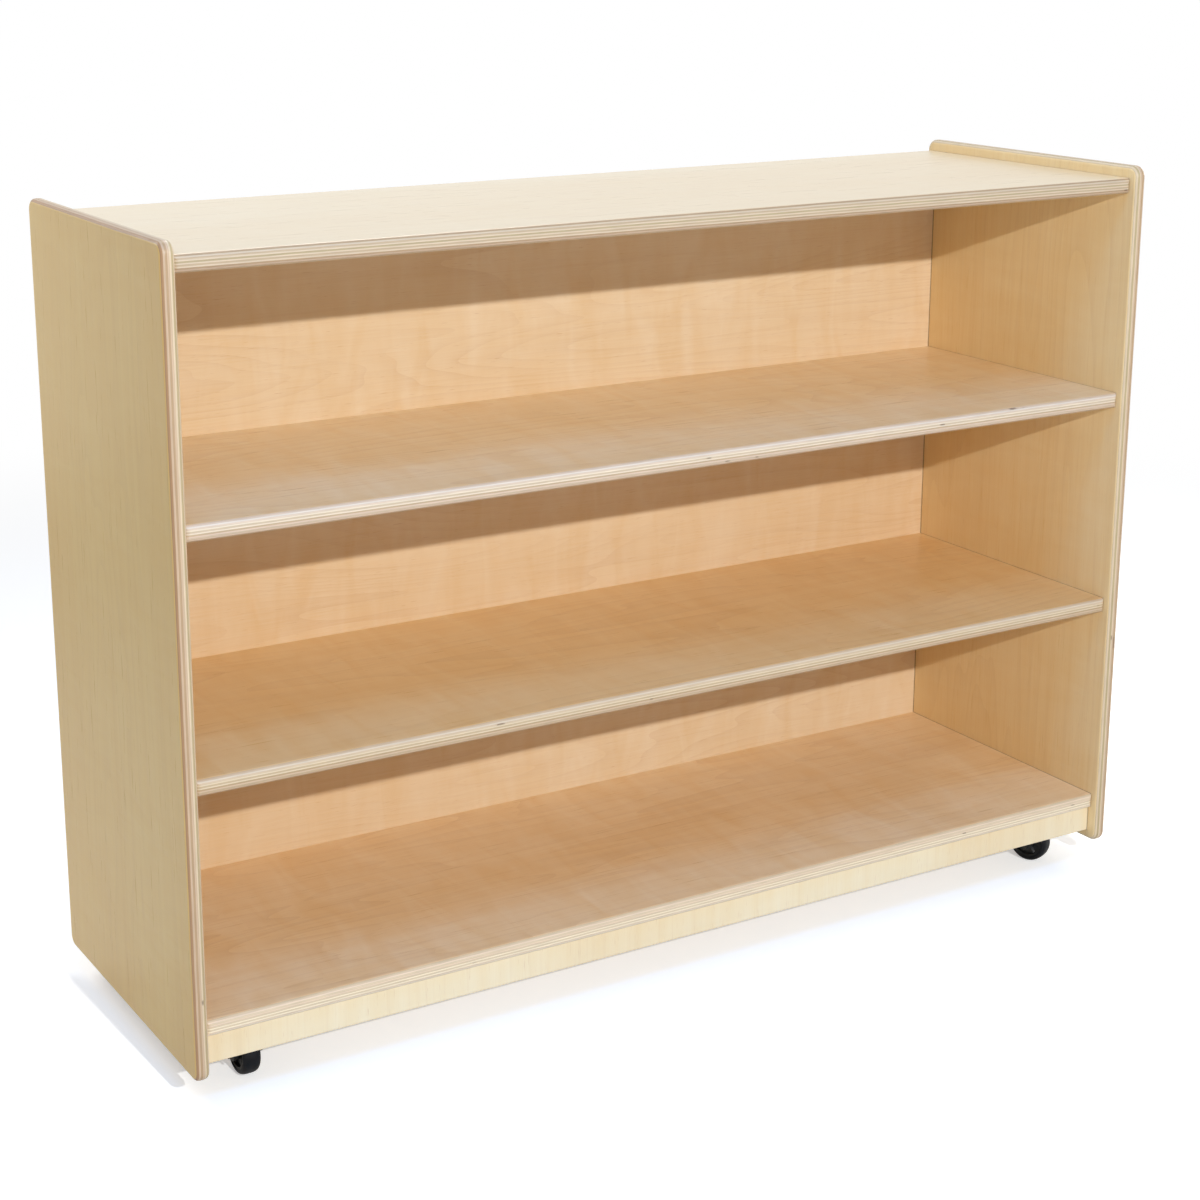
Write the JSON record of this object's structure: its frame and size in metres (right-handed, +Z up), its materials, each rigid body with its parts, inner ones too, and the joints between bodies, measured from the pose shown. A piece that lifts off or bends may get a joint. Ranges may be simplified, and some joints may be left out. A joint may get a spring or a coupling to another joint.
{
  "type": "open-shelf display unit",
  "caption": "Open-fronted plywood shelf unit with full-width shelves, raised side lips, a closed back, a front apron and swivel casters under its base.",
  "frame": {"origin": "on the floor under the middle of the unit's outline", "axes": "+X to the right seen from the open front, +Y to the back, +Z up"},
  "size_m": [1.219, 0.381, 0.879],
  "materials": {
    "birch_plywood": "clear satin lacquer over pale veneer, ply layers on the edges",
    "back_plywood": "clear satin lacquer over pale veneer",
    "beech_dowel": "bare wood",
    "zinc_steel": "zinc plated",
    "black_steel": "black satin coating",
    "black_nylon": "moulded",
    "black_rubber": "smooth, faint sheen"
  },
  "bodies": {
    "cabinet": {"left_side_panel": "birch_plywood", "right_side_panel": "birch_plywood", "top_panel": "birch_plywood", "upper_shelf": "birch_plywood", "lower_shelf": "birch_plywood", "bottom_shelf": "birch_plywood", "front_apron": "birch_plywood", "back_panel": "back_plywood", "bottom_shelf_dowels": "beech_dowel", "lower_shelf_dowels": "beech_dowel", "upper_shelf_dowels": "beech_dowel", "top_panel_dowels": "beech_dowel", "apron_dowels": "beech_dowel", "back_panel_screws": "zinc_steel", "caster_screws": "zinc_steel", "front_left_caster_plate": "black_steel", "front_left_kingpin": "zinc_steel", "front_left_swivel_washer": "zinc_steel", "front_left_swivel_balls": "zinc_steel", "front_right_caster_plate": "black_steel", "front_right_kingpin": "zinc_steel", "front_right_swivel_washer": "zinc_steel", "front_right_swivel_balls": "zinc_steel", "rear_left_caster_plate": "black_steel", "rear_left_kingpin": "zinc_steel", "rear_left_swivel_washer": "zinc_steel", "rear_left_swivel_balls": "zinc_steel", "rear_right_caster_plate": "black_steel", "rear_right_kingpin": "zinc_steel", "rear_right_swivel_washer": "zinc_steel", "rear_right_swivel_balls": "zinc_steel"},
    "front_left_swivel": {"front_left_fork": "black_steel", "front_left_axle_bolt": "zinc_steel", "front_left_axle_nut": "zinc_steel", "front_left_axle_sleeve": "zinc_steel"},
    "front_left_wheel": {"front_left_wheel_hub": "black_nylon", "front_left_tread": "black_rubber"},
    "front_right_swivel": {"front_right_fork": "black_steel", "front_right_axle_bolt": "zinc_steel", "front_right_axle_nut": "zinc_steel", "front_right_axle_sleeve": "zinc_steel"},
    "front_right_wheel": {"front_right_wheel_hub": "black_nylon", "front_right_tread": "black_rubber"},
    "rear_left_swivel": {"rear_left_fork": "black_steel", "rear_left_axle_bolt": "zinc_steel", "rear_left_axle_nut": "zinc_steel", "rear_left_axle_sleeve": "zinc_steel"},
    "rear_left_wheel": {"rear_left_wheel_hub": "black_nylon", "rear_left_tread": "black_rubber"},
    "rear_right_swivel": {"rear_right_fork": "black_steel", "rear_right_axle_bolt": "zinc_steel", "rear_right_axle_nut": "zinc_steel", "rear_right_axle_sleeve": "zinc_steel"},
    "rear_right_wheel": {"rear_right_wheel_hub": "black_nylon", "rear_right_tread": "black_rubber"}
  },
  "joints": [
    {"name": "front_left_swivel_turn", "type": "hinge", "parent": "cabinet", "child": "front_left_swivel", "pos_m": [-0.5344, -0.1104, 0.0721], "axis": [0, 0, 1], "continuous": true},
    {"name": "front_left_wheel_roll", "type": "hinge", "parent": "front_left_swivel", "child": "front_left_wheel", "pos_m": [-0.5344, -0.1304, 0.025], "axis": [1, 0, 0], "continuous": true},
    {"name": "front_right_swivel_turn", "type": "hinge", "parent": "cabinet", "child": "front_right_swivel", "pos_m": [0.5344, -0.1104, 0.0721], "axis": [0, 0, 1], "continuous": true},
    {"name": "front_right_wheel_roll", "type": "hinge", "parent": "front_right_swivel", "child": "front_right_wheel", "pos_m": [0.54189, -0.12895, 0.025], "axis": [0.9272, 0.3746, 0], "continuous": true},
    {"name": "rear_left_swivel_turn", "type": "hinge", "parent": "cabinet", "child": "rear_left_swivel", "pos_m": [-0.5344, 0.1104, 0.0721], "axis": [0, 0, 1], "continuous": true},
    {"name": "rear_left_wheel_roll", "type": "hinge", "parent": "rear_left_swivel", "child": "rear_left_wheel", "pos_m": [-0.53231, 0.09051, 0.025], "axis": [0.9945, 0.1045, 0], "continuous": true},
    {"name": "rear_right_swivel_turn", "type": "hinge", "parent": "cabinet", "child": "rear_right_swivel", "pos_m": [0.5344, 0.1104, 0.0721], "axis": [0, 0, 1], "continuous": true},
    {"name": "rear_right_wheel_roll", "type": "hinge", "parent": "rear_right_swivel", "child": "rear_right_wheel", "pos_m": [0.53924, 0.091, 0.025], "axis": [0.9703, 0.2419, 0], "continuous": true}
  ]
}
